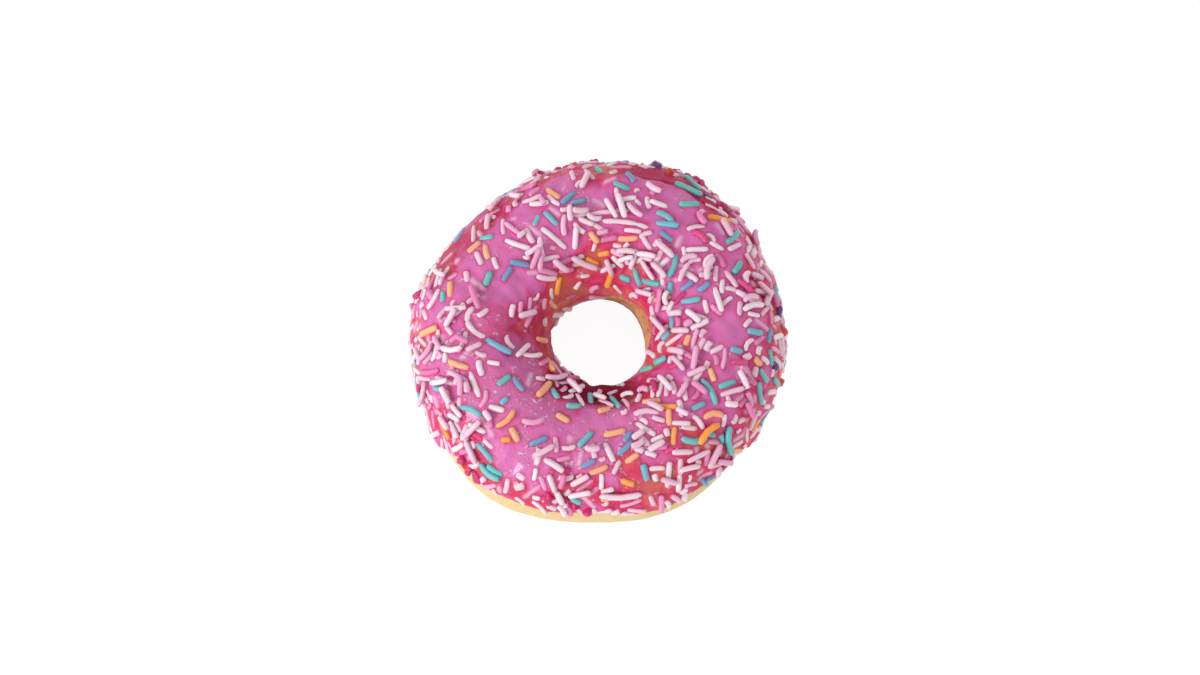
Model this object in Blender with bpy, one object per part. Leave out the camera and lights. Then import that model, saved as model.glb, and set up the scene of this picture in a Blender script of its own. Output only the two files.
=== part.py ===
"""Iced ring doughnut: a fried dough ring and the coat of icing dipped over its top.

The origin is on the resting plane, under the middle of the doughnut. +X is its right, +Y its back, +Z up.
"""

import math

import bmesh
import bpy
from mathutils import Vector

# Lengths are in metres and angles in degrees. A wave is (size, lobes round the ring, azimuth of one lobe).

# The dough ring as seen from above. The waves' sizes are shares of the radius.
OUTER_RADIUS = 0.0427
OUTER_WAVES = ((0.027, 2, 51), (0.008, 3, -58), (0.006, 4, -25), (0.009, 5, 15), (0.010, 6, -6))
HOLE_RADIUS = 0.01185
HOLE_WAVES = ((0.027, 1, 163), (0.029, 2, -67), (0.032, 3, -54))

# The dough's section: two half superellipses that meet at the waist, cut flat where the ring rests.
# The crown's waves are shares of its rise.
WAIST_HEIGHT = 0.0143
CROWN_RISE = 0.0166
CROWN_WAVES = ((0.022, 1, 70), (0.016, 2, 10), (0.010, 3, 100))
CROWN_FULLNESS = 2.2
BELLY_DROP = 0.0150
BELLY_FULLNESS = 2.2

# The icing. Its two edges are angles round the section, up from the waist, and so are their waves' sizes.
ICING_THICKNESS = 0.0012
ICING_EDGE_ROUNDING = 0.0018
AIR_GAP = 0.0003
OUTER_EDGE_LOW = -8.0
OUTER_EDGE_HIGH = 17.0
BARE_FRONT_AZIMUTH = 270.0
BARE_FRONT_HALF_WIDTH = 49.0
BARE_FRONT_FADE = 9.0
OUTER_EDGE_WAVES = ((6.0, 1, 215), (2.6, 9, 228), (1.5, 14, 271))
HOLE_EDGE = 9.5
HOLE_EDGE_WAVES = ((14.0, 1, 5), (4.0, 2, 0), (2.5, 3, 20), (1.2, 7, 20))

# Facets. The icing's are closer together at its edges by this share of a full cosine spacing.
RING_STEPS = 80
DOUGH_SECTION_STEPS = 28
ICING_SECTION_STEPS = 32
EDGE_CROWDING = 0.4

DOUGH_COLOR = (0.78, 0.52, 0.25, 1.0)
DOUGH_ROUGHNESS = 0.6
ICING_COLOR = (0.62, 0.16, 0.36, 1.0)
ICING_ROUGHNESS = 0.3


def wave_sum(waves, azimuth):
    """Sum of the waves at an azimuth in radians."""
    return sum(size * math.cos(lobes * (azimuth - math.radians(peak))) for size, lobes, peak in waves)


def eased(share):
    """A share held between 0 and 1, with a soft start and end."""
    held = min(max(share, 0.0), 1.0)
    return held * held * (3.0 - 2.0 * held)


def signed_power(value, power):
    """The power of the value's size, with the value's sign."""
    return math.copysign(abs(value) ** power, value)


def ring_reach(azimuth):
    """Radii of the dough's hole and of its outside at an azimuth."""
    hole = HOLE_RADIUS * (1.0 + wave_sum(HOLE_WAVES, azimuth))
    outside = OUTER_RADIUS * (1.0 + wave_sum(OUTER_WAVES, azimuth))
    return hole, outside


def dough_point(azimuth, turn):
    """Radius and height on the dough. turn goes round the section from the outer waist, over the crown."""
    hole, outside = ring_reach(azimuth)
    across = math.cos(turn)
    up = math.sin(turn)
    fullness = CROWN_FULLNESS if up >= 0.0 else BELLY_FULLNESS
    rise = CROWN_RISE * (1.0 + wave_sum(CROWN_WAVES, azimuth)) if up >= 0.0 else BELLY_DROP
    radius = (hole + outside) / 2.0 + (outside - hole) / 2.0 * signed_power(across, 2.0 / fullness)
    height = WAIST_HEIGHT + rise * signed_power(up, 2.0 / fullness)
    return Vector((radius, max(height, 0.0)))


def outward(azimuth, turn):
    """Unit normal of the dough's section, pointing out of the dough."""
    step = math.radians(1.0)
    along = dough_point(azimuth, turn + step) - dough_point(azimuth, turn - step)
    return Vector((along.y, -along.x)).normalized()


def icing_edges(azimuth):
    """Turns at which the icing starts outside and ends in the hole. It stops higher along the front."""
    middle = math.radians(BARE_FRONT_AZIMUTH)
    away = math.degrees(abs(math.remainder(azimuth - middle, math.tau)))
    bare = eased((BARE_FRONT_HALF_WIDTH + BARE_FRONT_FADE - away) / BARE_FRONT_FADE)
    start = OUTER_EDGE_LOW + (OUTER_EDGE_HIGH - OUTER_EDGE_LOW) * bare + wave_sum(OUTER_EDGE_WAVES, azimuth)
    end = 180.0 - HOLE_EDGE - wave_sum(HOLE_EDGE_WAVES, azimuth)
    return math.radians(start), math.radians(end)


def icing_point(azimuth, turn):
    """Radius and height on the icing. Half a turn runs over its face, the other half back underneath."""
    start, end = icing_edges(azimuth)
    on_face = abs(turn) / math.pi
    share = on_face + EDGE_CROWDING * ((1.0 - math.cos(turn)) / 2.0 - on_face)
    place = start + (end - start) * share
    section_radius = (WAIST_HEIGHT + CROWN_RISE) / 2.0
    from_edge = min(share, 1.0 - share) * (end - start) * section_radius
    in_rounding = max(0.0, 1.0 - from_edge / ICING_EDGE_ROUNDING)
    thickness = ICING_THICKNESS * math.sqrt(1.0 - in_rounding**2) if math.sin(turn) > 0.0 else 0.0
    return dough_point(azimuth, place) + outward(azimuth, place) * (AIR_GAP + thickness)


def widest(azimuth):
    """Radius of whichever of the two solids reaches further out at an azimuth."""
    turns = [math.tau * step / ICING_SECTION_STEPS for step in range(ICING_SECTION_STEPS)]
    return max(max(dough_point(azimuth, turn).x, icing_point(azimuth, turn).x) for turn in turns)


def outline_middle():
    """Middle of the box round the doughnut's outline, which is put over the origin."""
    azimuths = [math.tau * step / RING_STEPS for step in range(RING_STEPS)]
    reaches = [widest(azimuth) for azimuth in azimuths]
    across = [reach * math.cos(azimuth) for reach, azimuth in zip(reaches, azimuths)]
    along = [reach * math.sin(azimuth) for reach, azimuth in zip(reaches, azimuths)]
    return Vector(((min(across) + max(across)) / 2.0, (min(along) + max(along)) / 2.0, 0.0))


def make_material(name, color, roughness):
    """A Principled material of one colour."""
    material = bpy.data.materials.new(name)
    material.use_nodes = True
    shader = material.node_tree.nodes["Principled BSDF"]
    shader.inputs["Base Color"].default_value = color
    shader.inputs["Roughness"].default_value = roughness
    shader.inputs["Metallic"].default_value = 0.0
    return material


def make_ring(name, section_point, section_steps, material, collection):
    """A torus whose every point moves to the place that section_point gives for its azimuth and turn."""
    bpy.ops.mesh.primitive_torus_add(
        major_segments=RING_STEPS,
        minor_segments=section_steps,
        major_radius=1.0,
        minor_radius=0.5,
    )
    ring = bpy.context.object
    ring.name = name
    ring.data.name = name
    middle = outline_middle()
    shape = bmesh.new()
    shape.from_mesh(ring.data)
    for vertex in shape.verts:
        azimuth = math.atan2(vertex.co.y, vertex.co.x)
        turn = math.atan2(vertex.co.z, math.hypot(vertex.co.x, vertex.co.y) - 1.0)
        radius, height = section_point(azimuth, turn)
        vertex.co = Vector((radius * math.cos(azimuth), radius * math.sin(azimuth), height)) - middle
    shape.to_mesh(ring.data)
    shape.free()
    ring.data.shade_smooth()
    ring.data.materials.append(material)
    for old in list(ring.users_collection):
        old.objects.unlink(ring)
    collection.objects.link(ring)
    return ring


def main():
    for old in list(bpy.data.objects):
        bpy.data.objects.remove(old, do_unlink=True)
    doughnut = bpy.data.collections.new("iced_ring_doughnut")
    bpy.context.scene.collection.children.link(doughnut)
    dough = make_material("fried_dough", DOUGH_COLOR, DOUGH_ROUGHNESS)
    icing = make_material("pink_icing", ICING_COLOR, ICING_ROUGHNESS)
    make_ring("dough_ring", dough_point, DOUGH_SECTION_STEPS, dough, doughnut)
    make_ring("icing_coat", icing_point, ICING_SECTION_STEPS, icing, doughnut)


main()
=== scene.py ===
"""Looks of an iced ring doughnut: fried dough, dipped pink icing, sugar sprinkles and fruit crumbs.

Lengths are in metres and angles in radians, unless a name or a comment says degrees. +X is the doughnut's
right, +Y its back and +Z is up. A place on the doughnut is an azimuth round the ring and a turn round its
section: 0 at the outer waist, a quarter turn on the crown, half a turn at the waist in the hole.
"""

import dataclasses
import logging
import math
from dataclasses import dataclass, field
from enum import Enum

import bpy
import numpy as np
from mathutils import Matrix, Vector


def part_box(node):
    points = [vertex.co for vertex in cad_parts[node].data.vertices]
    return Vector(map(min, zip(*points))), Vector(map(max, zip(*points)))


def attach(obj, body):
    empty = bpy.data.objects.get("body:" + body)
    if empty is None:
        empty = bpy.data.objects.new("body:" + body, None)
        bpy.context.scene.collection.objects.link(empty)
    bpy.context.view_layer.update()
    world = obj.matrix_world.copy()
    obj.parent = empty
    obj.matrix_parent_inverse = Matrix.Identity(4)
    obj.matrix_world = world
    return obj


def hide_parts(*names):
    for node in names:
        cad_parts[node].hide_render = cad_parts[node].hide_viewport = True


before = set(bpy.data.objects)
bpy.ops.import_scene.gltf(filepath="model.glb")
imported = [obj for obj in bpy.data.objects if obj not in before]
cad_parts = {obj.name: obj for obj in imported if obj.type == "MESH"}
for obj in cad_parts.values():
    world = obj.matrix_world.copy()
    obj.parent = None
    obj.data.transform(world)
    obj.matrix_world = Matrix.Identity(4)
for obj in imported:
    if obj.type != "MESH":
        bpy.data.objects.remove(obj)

LOG = logging.getLogger("doughnut")
MM = 0.001
FULL_TURN = math.tau
QUARTER_TURN = math.pi / 2.0
Spots = tuple[tuple[float, float], ...]


# ---- Numbers in node trees ---------------------------------------


class Wire:
    """A number that flows through a node tree. Arithmetic on it adds Math nodes to the tree."""

    def __init__(self, tree: bpy.types.NodeTree, socket: bpy.types.NodeSocket) -> None:
        """Takes the tree and the output socket that the number comes from."""
        self.tree = tree
        self.socket = socket

    def math(self, operation: str, *others: "float | Wire") -> "Wire":
        """Adds one Math node.

        Args:
            operation: The node's operation.
            others: The operands after this one.

        Returns:
            The node's result.
        """
        node = self.tree.nodes.new("ShaderNodeMath")
        node.operation = operation
        for socket, value in zip(node.inputs, (self, *others)):
            plug(self.tree, value, socket)
        return Wire(self.tree, node.outputs[0])

    def __add__(self, other: "float | Wire") -> "Wire":
        """This plus other."""
        return self.math("ADD", other)

    __radd__ = __add__

    def __sub__(self, other: "float | Wire") -> "Wire":
        """This minus other."""
        return self.math("SUBTRACT", other)

    def __rsub__(self, other: float) -> "Wire":
        """A plain number minus this."""
        return self * -1.0 + other

    def __mul__(self, other: "float | Wire") -> "Wire":
        """This times other."""
        return self.math("MULTIPLY", other)

    __rmul__ = __mul__

    def __truediv__(self, other: "float | Wire") -> "Wire":
        """This over other."""
        return self.math("DIVIDE", other)

    def __rtruediv__(self, other: float) -> "Wire":
        """A plain number over this."""
        return self.math("POWER", -1.0) * other


Amount = float | np.ndarray | Wire


def plug(tree: bpy.types.NodeTree, value: object, socket: bpy.types.NodeSocket) -> None:
    """Gives a socket a value: a link from a wire or a socket, or else a constant.

    Args:
        tree: The tree that holds the socket.
        value: A wire, an output socket or a constant.
        socket: The input socket that takes it.
    """
    if isinstance(value, Wire):
        tree.links.new(value.socket, socket)
    elif isinstance(value, bpy.types.NodeSocket):
        tree.links.new(value, socket)
    else:
        socket.default_value = value


def cosine(angle: Amount) -> Amount:
    """Cosine of a number, an array or a wire."""
    return angle.math("COSINE") if isinstance(angle, Wire) else np.cos(angle)


def sine(angle: Amount) -> Amount:
    """Sine of a number, an array or a wire."""
    return angle.math("SINE") if isinstance(angle, Wire) else np.sin(angle)


def signed_power(value: Amount, power: Amount) -> Amount:
    """The power of the value's size, with the value's sign.

    Args:
        value: The value.
        power: The power.

    Returns:
        The signed power.
    """
    if isinstance(value, Wire):
        return value.math("ABSOLUTE").math("POWER", power) * value.math("SIGN")
    return np.sign(value) * np.abs(value) ** power


def is_positive(value: Amount) -> Amount:
    """One where the value is above zero, and zero elsewhere.

    Args:
        value: The value.

    Returns:
        One or zero for each value.
    """
    if isinstance(value, Wire):
        return value.math("GREATER_THAN", 0.0)
    return np.where(np.asarray(value) > 0.0, 1.0, 0.0)


def at_least(value: Amount, floor: float) -> Amount:
    """The value, or the floor where that is higher."""
    return value.math("MAXIMUM", floor) if isinstance(value, Wire) else np.maximum(value, floor)


def eased(share: np.ndarray) -> np.ndarray:
    """A share held between 0 and 1, with a soft start and end."""
    held = np.clip(share, 0.0, 1.0)
    return held * held * (3.0 - 2.0 * held)


def apart(azimuth: np.ndarray, middle: float) -> np.ndarray:
    """How far azimuths lie from one that is given in degrees, in radians and the short way round."""
    return np.abs((azimuth - math.radians(middle) + math.pi) % FULL_TURN - math.pi)


def facing(azimuth: np.ndarray, middle: float, gain: float, start: float) -> np.ndarray:
    """A soft share: one where azimuths face a middle that is given in degrees, and zero away from it."""
    return eased(gain * np.cos(azimuth - math.radians(middle)) - start)


def round_ring(radius: np.ndarray, azimuth: np.ndarray, height: np.ndarray) -> np.ndarray:
    """Points from their distances to the ring's axis, azimuths and heights."""
    return np.stack([radius * np.cos(azimuth), radius * np.sin(azimuth), height], axis=-1)


# ---- The rule of the doughnut's shape ----------------------------


@dataclass(frozen=True)
class Wave:
    """One wave round the ring: its size, its number of lobes and the azimuth of one lobe in degrees."""

    size: float
    lobes: int
    peak: float


def wave_sum(waves: tuple[Wave, ...], azimuth: Amount) -> Amount:
    """Sum of waves at an azimuth.

    Args:
        waves: The waves.
        azimuth: The azimuth, in radians.

    Returns:
        The sum, in the unit of the waves' sizes.
    """
    total = 0.0
    for wave in waves:
        total = cosine((azimuth - math.radians(wave.peak)) * float(wave.lobes)) * wave.size + total
    return total


@dataclass(frozen=True)
class RingForm:
    """The doughnut's shape as a rule, which holds for arrays and for wires alike.

    The waves of the outlines and of the crown are shares of the radius or rise, and those of the icing's
    two edges are degrees round the section, like the edges themselves.
    """

    outer_radius: Amount = 42.7 * MM
    hole_radius: Amount = 11.85 * MM
    waist_height: Amount = 14.3 * MM
    crown_rise: Amount = 16.6 * MM
    belly_drop: Amount = 15.0 * MM
    fullness: Amount = 2.2
    outer_waves: tuple[Wave, ...] = (
        Wave(0.027, 2, 51),
        Wave(0.008, 3, -58),
        Wave(0.006, 4, -25),
        Wave(0.009, 5, 15),
        Wave(0.010, 6, -6),
    )
    hole_waves: tuple[Wave, ...] = (Wave(0.027, 1, 163), Wave(0.029, 2, -67), Wave(0.032, 3, -54))
    crown_waves: tuple[Wave, ...] = (Wave(0.022, 1, 70), Wave(0.016, 2, 10), Wave(0.010, 3, 100))
    edge_low: float = -8.0
    edge_high: float = 17.0
    bare_front: float = 270.0
    bare_half_width: float = 49.0
    bare_fade: float = 9.0
    edge_waves: tuple[Wave, ...] = (Wave(6.0, 1, 215), Wave(2.6, 9, 228), Wave(1.5, 14, 271))
    hole_edge: float = 9.5
    hole_edge_waves: tuple[Wave, ...] = (
        Wave(14.0, 1, 5),
        Wave(4.0, 2, 0),
        Wave(2.5, 3, 20),
        Wave(1.2, 7, 20),
    )

    def section(self, azimuth: Amount, turn: Amount) -> tuple[Amount, Amount]:
        """Radius and height of a place on the dough.

        Args:
            azimuth: The azimuth round the ring.
            turn: The turn round the section.

        Returns:
            The distance from the ring's axis and the height over the resting plane.
        """
        hole = self.hole_radius * (1.0 + wave_sum(self.hole_waves, azimuth))
        outside = self.outer_radius * (1.0 + wave_sum(self.outer_waves, azimuth))
        up = sine(turn)
        crown = self.crown_rise * (1.0 + wave_sum(self.crown_waves, azimuth))
        rise = self.belly_drop + (crown - self.belly_drop) * is_positive(up)
        across = (outside - hole) / 2.0 * signed_power(cosine(turn), 2.0 / self.fullness)
        radius = (hole + outside) / 2.0 + across
        height = self.waist_height + rise * signed_power(up, 2.0 / self.fullness)
        return radius, at_least(height, 0.0)

    def normal(self, azimuth: np.ndarray, turn: np.ndarray) -> tuple[np.ndarray, np.ndarray]:
        """Outward normal of the dough's section, as its radial and upward parts.

        Args:
            azimuth: Azimuths of the places.
            turn: Turns of the places.

        Returns:
            The radial parts and the upward parts.
        """
        step = math.radians(1.0)
        after = self.section(azimuth, turn + step)
        before = self.section(azimuth, turn - step)
        run, climb = after[0] - before[0], after[1] - before[1]
        length = np.hypot(run, climb)
        return climb / length, -run / length

    def icing_edges(self, azimuth: np.ndarray) -> tuple[np.ndarray, np.ndarray]:
        """Where the icing's outer edge and its edge in the hole run. It stops higher along the front.

        Args:
            azimuth: Azimuths of the places.

        Returns:
            The turns of the two edges.
        """
        away = np.degrees(apart(azimuth, self.bare_front))
        bare = eased((self.bare_half_width + self.bare_fade - away) / self.bare_fade)
        low = self.edge_low + wave_sum(self.edge_waves, azimuth)
        start = low + (self.edge_high - self.edge_low) * bare
        return np.radians(start), np.radians(self.hole_edge_turn(azimuth))

    def hole_edge_turn(self, azimuth: Amount) -> Amount:
        """Turn of the icing's edge in the hole, in degrees."""
        return 180.0 - self.hole_edge - wave_sum(self.hole_edge_waves, azimuth)

    def shift_to(self, node: str) -> Vector:
        """How far the rule's ring has to move sideways to lie where a CAD node lies.

        Args:
            node: The CAD node of the dough.

        Returns:
            The shift, level with the resting plane.
        """
        azimuth = np.linspace(0.0, FULL_TURN, 721)
        radius, _ = self.section(azimuth, np.zeros_like(azimuth))
        across, along = radius * np.cos(azimuth), radius * np.sin(azimuth)
        low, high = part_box(node)
        own_middle = Vector((across.min() + across.max(), along.min() + along.max(), 0.0)) / 2.0
        shift = (low + high) / 2.0 - own_middle
        return Vector((shift.x, shift.y, 0.0))


@dataclass(frozen=True)
class Swell:
    """Smooth random unevenness: cosine waves of about one length that run in random directions."""

    length: float
    seed: int
    waves: int = 28

    def at(self, points: np.ndarray) -> np.ndarray:
        """Height of the swell at points, with a spread of about one.

        Args:
            points: Places, one row each.

        Returns:
            One number for each place.
        """
        rng = np.random.default_rng(self.seed)
        directions = rng.normal(size=(self.waves, 3))
        directions /= np.linalg.norm(directions, axis=1, keepdims=True)
        pitch = FULL_TURN / (self.length * rng.uniform(0.7, 1.6, self.waves))
        phase = rng.uniform(0.0, FULL_TURN, self.waves)
        heights = np.cos(points.reshape(-1, 3) @ (directions * pitch[:, None]).T + phase)
        return (heights.sum(axis=1) * math.sqrt(2.0 / self.waves)).reshape(points.shape[:-1])


def swell_sum(layers: tuple[tuple[float, Swell], ...], points: np.ndarray) -> np.ndarray:
    """Sum of swells at points, each times its size."""
    return sum(size * swell.at(points) for size, swell in layers)


# ---- Meshes, trees and materials ---------------------------------


def new_piece(name: str, mesh: bpy.types.Mesh) -> bpy.types.Object:
    """Puts a mesh into the scene as an object at the origin.

    Args:
        name: The object's name.
        mesh: The mesh.

    Returns:
        The object.
    """
    piece = bpy.data.objects.new(name, mesh)
    bpy.context.scene.collection.objects.link(piece)
    return piece


def grid_mesh(name: str, rows: np.ndarray) -> bpy.types.Mesh:
    """A closed mesh from a grid of points that wraps both ways.

    Args:
        name: The mesh's name.
        rows: Points as columns round the ring, points round the section, and coordinates.

    Returns:
        The mesh, shaded smooth.
    """
    columns, steps = rows.shape[:2]
    index = np.arange(columns * steps).reshape(columns, steps)
    beside, above = np.roll(index, -1, axis=0), np.roll(index, -1, axis=1)
    across = np.roll(beside, -1, axis=1)
    faces = np.stack([index, beside, across, above], axis=-1).reshape(-1, 4)
    mesh = bpy.data.meshes.new(name)
    mesh.from_pydata(rows.reshape(-1, 3).tolist(), [], faces.tolist())
    mesh.shade_smooth()
    return mesh


def set_attribute(mesh: bpy.types.Mesh, name: str, values: np.ndarray) -> None:
    """Stores one number, or one vector, for each point of a mesh.

    Args:
        mesh: The mesh.
        name: The attribute's name.
        values: One number, or one row of three, for each point.
    """
    kind, key = ("FLOAT_VECTOR", "vector") if values.ndim == 2 else ("FLOAT", "value")
    attribute = mesh.attributes.new(name, kind, "POINT")
    attribute.data.foreach_set(key, np.ascontiguousarray(values, np.float32).ravel())


class NodeTree:
    """A node tree under construction, with short calls for its nodes and their numbers."""

    def __init__(self, tree: bpy.types.NodeTree) -> None:
        """Takes the tree."""
        self.tree = tree

    def node(
        self, kind: str, inputs: dict[str | int, object] | None = None, **options: object
    ) -> bpy.types.Node:
        """Adds a node.

        Args:
            kind: The node's type, without its GeometryNode prefix where it has that one.
            inputs: What goes into its sockets, by name or number.
            options: The node's own settings.

        Returns:
            The node.
        """
        prefixed = kind if kind.startswith(("ShaderNode", "FunctionNode")) else "GeometryNode" + kind
        made = self.tree.nodes.new(prefixed)
        for key, value in options.items():
            setattr(made, key, value)
        for key, value in (inputs or {}).items():
            plug(self.tree, value, made.inputs[key])
        return made

    def wire(self, node: bpy.types.Node, output: str | int = 0) -> Wire:
        """The number that comes out of a node."""
        return Wire(self.tree, node.outputs[output])


class GeometryTree(NodeTree):
    """A Geometry Nodes tree with named inputs, and the modifier run that turns it into a plain mesh."""

    def __init__(self, name: str) -> None:
        """Makes an empty tree with a geometry input and output.

        Args:
            name: The tree's name.
        """
        super().__init__(bpy.data.node_groups.new(name, "GeometryNodeTree"))
        self.tree.is_modifier = True
        for way in ("INPUT", "OUTPUT"):
            self.tree.interface.new_socket("Geometry", in_out=way, socket_type="NodeSocketGeometry")
        self.group_input = self.tree.nodes.new("NodeGroupInput")
        self.group_output = self.tree.nodes.new("NodeGroupOutput")
        self.settings: dict[str, object] = {}

    def size(self, name: str, value: float, kind: str = "NodeSocketFloat") -> Wire:
        """Adds a named input.

        Args:
            name: The input's name.
            value: What the modifier sets it to.
            kind: The input's socket type.

        Returns:
            The input's number inside the tree.
        """
        socket = self.tree.interface.new_socket(name, in_out="INPUT", socket_type=kind)
        self.settings[socket.identifier] = value
        return Wire(self.tree, self.group_input.outputs[name])

    def vector(self, x: Amount, y: Amount, z: Amount) -> bpy.types.NodeSocket:
        """Joins three numbers into a vector."""
        return self.node("ShaderNodeCombineXYZ", {0: x, 1: y, 2: z}).outputs[0]

    def split(self, vector: bpy.types.NodeSocket) -> list[Wire]:
        """The three numbers of a vector."""
        parts = self.node("ShaderNodeSeparateXYZ", {0: vector})
        return [self.wire(parts, number) for number in range(3)]

    def store(self, geometry: bpy.types.NodeSocket, name: str, value: Amount) -> bpy.types.NodeSocket:
        """Stores a number on every point under a name, and returns the geometry that has it."""
        inputs = {"Geometry": geometry, "Name": name, "Value": value}
        return self.node("StoreNamedAttribute", inputs, data_type="FLOAT", domain="POINT").outputs[0]

    def noise(self, place: bpy.types.NodeSocket, scale: Amount, detail: float) -> Wire:
        """Noise over places, with its middle at zero."""
        inputs = {"Vector": place, "Scale": scale, "Detail": detail}
        return self.wire(self.node("ShaderNodeTexNoise", inputs)) - 0.5

    def pushed(self, geometry: bpy.types.NodeSocket, distance: Wire) -> bpy.types.NodeSocket:
        """Moves the points of a geometry outwards, along their normals.

        Args:
            geometry: The geometry.
            distance: How far each point moves.

        Returns:
            The moved geometry.
        """
        inputs = {0: self.node("InputNormal").outputs[0], "Scale": distance}
        push = self.node("ShaderNodeVectorMath", inputs, operation="SCALE").outputs[0]
        return self.node("SetPosition", {"Geometry": geometry, "Offset": push}).outputs[0]

    def end(self, geometry: bpy.types.NodeSocket, material: bpy.types.Material) -> None:
        """Ends the tree: the instances are realised, shaded smooth and given their material.

        Args:
            geometry: What the tree has made.
            material: Its material.
        """
        real = self.node("RealizeInstances", {0: geometry}).outputs[0]
        smooth = self.node("SetShadeSmooth", {"Geometry": real}).outputs[0]
        dressed = self.node("SetMaterial", {"Geometry": smooth, "Material": material}).outputs[0]
        plug(self.tree, dressed, self.group_output.inputs[0])

    def run(self, name: str, source: bpy.types.Mesh | None = None) -> bpy.types.Object:
        """Evaluates the tree on a mesh and keeps the result as a plain piece.

        Args:
            name: The piece's name.
            source: The mesh that the tree starts from, if it needs one.

        Returns:
            The piece, with no modifier.
        """
        carrier = new_piece(name + "_source", source or bpy.data.meshes.new(name + "_source"))
        modifier = carrier.modifiers.new("build", "NODES")
        modifier.node_group = self.tree
        for identifier, value in self.settings.items():
            modifier[identifier] = value
        graph = bpy.context.evaluated_depsgraph_get()
        mesh = bpy.data.meshes.new_from_object(carrier.evaluated_get(graph), depsgraph=graph)
        mesh.name = name
        bpy.data.objects.remove(carrier)
        return new_piece(name, mesh)


Color = tuple[float, float, float]


def linear(color: Color) -> tuple[float, float, float, float]:
    """Linear colour with full alpha from a display colour of 0 to 255.

    Args:
        color: The display colour.

    Returns:
        Red, green, blue and alpha.
    """
    shares = [value / 255.0 for value in color]
    parts = [share / 12.92 if share <= 0.04045 else ((share + 0.055) / 1.055) ** 2.4 for share in shares]
    return (parts[0], parts[1], parts[2], 1.0)


class Finish(NodeTree):
    """A Principled material under construction, with short calls for the nodes that feed it."""

    def __init__(self, name: str, **constants: float) -> None:
        """Makes the material and sets the shader's constant values.

        Args:
            name: The material's name.
            constants: The shader's constant values, by socket name with underscores.
        """
        self.material = bpy.data.materials.new(name)
        self.material.use_nodes = True
        super().__init__(self.material.node_tree)
        self.shader = self.tree.nodes["Principled BSDF"]
        for key, value in constants.items():
            self.shader.inputs[key.replace("_", " ").title().replace("Ior", "IOR")].default_value = value
        self.place = self.node("ShaderNodeTexCoord").outputs["Object"]

    def attribute(self, name: str) -> Wire:
        """A number stored on the mesh."""
        return self.wire(self.node("ShaderNodeAttribute", attribute_name=name), "Fac")

    def noise(self, size: float, detail: float = 2.0, roughness: float = 0.5, seed: float = 0.0) -> Wire:
        """Noise with lumps of a size, in metres. Its middle is one half."""
        inputs = {"Vector": self.place, "Scale": 1.0 / size, "Detail": detail, "Roughness": roughness}
        return self.wire(self.node("ShaderNodeTexNoise", inputs | {"W": seed}, noise_dimensions="4D"))

    def ramp(self, value: Wire, low: float, high: float) -> Wire:
        """A value as a smooth share of the way from low to high.

        Args:
            value: The value.
            low: Where the share is zero.
            high: Where it is one.

        Returns:
            The share.
        """
        inputs = {"Value": value, "From Min": low, "From Max": high}
        node = self.node("ShaderNodeMapRange", inputs, interpolation_type="SMOOTHSTEP")
        return self.wire(node, "Result")

    def blend(self, share: Amount, start: object, end: object) -> bpy.types.NodeSocket:
        """Mixes two colours.

        Args:
            share: How far towards the second colour.
            start: The first colour, as a display colour or a socket.
            end: The second colour, likewise.

        Returns:
            The mixed colour.
        """
        first, second = (linear(value) if isinstance(value, tuple) else value for value in (start, end))
        return self.node("ShaderNodeMix", {0: share, 6: first, 7: second}, data_type="RGBA").outputs[2]

    def stops(self, value: Wire, colors: dict[float, Color]) -> bpy.types.NodeSocket:
        """A colour that runs through stops.

        Args:
            value: The value.
            colors: The display colour at each stop.

        Returns:
            The colour.
        """
        node = self.node("ShaderNodeValToRGB", {0: value})
        elements = node.color_ramp.elements
        while len(elements) < len(colors):
            elements.new(1.0)
        for element, (position, color) in zip(elements, sorted(colors.items())):
            element.position = position
            element.color = linear(color)
        return node.outputs[0]

    def set(self, name: str, value: object) -> None:
        """Feeds one of the shader's sockets."""
        plug(self.tree, value, self.shader.inputs[name])

    def relief(self, *layers: tuple[Amount, float]) -> None:
        """Feeds the normal with bumps.

        Args:
            layers: Heights from 0 to 1, each with the depth in metres that it stands for.
        """
        normal = {}
        for height, depth in layers:
            inputs = {"Strength": 1.0, "Distance": depth, "Height": height}
            normal = {"Normal": self.node("ShaderNodeBump", inputs | normal).outputs["Normal"]}
        self.set("Normal", normal["Normal"])


def settle(piece: bpy.types.Object, slot: str, *nodes: str) -> None:
    """Hands a finished piece to the frame.

    Args:
        piece: The piece.
        slot: The record's material slot; not used.
        nodes: The CAD nodes that it stands for.
    """
    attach(piece, "root")
    if nodes:
        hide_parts(*nodes)
    piece.data.calc_loop_triangles()
    LOG.info("%s: %d triangles", piece.name, len(piece.data.loop_triangles))


# ---- The dough ---------------------------------------------------


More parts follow.
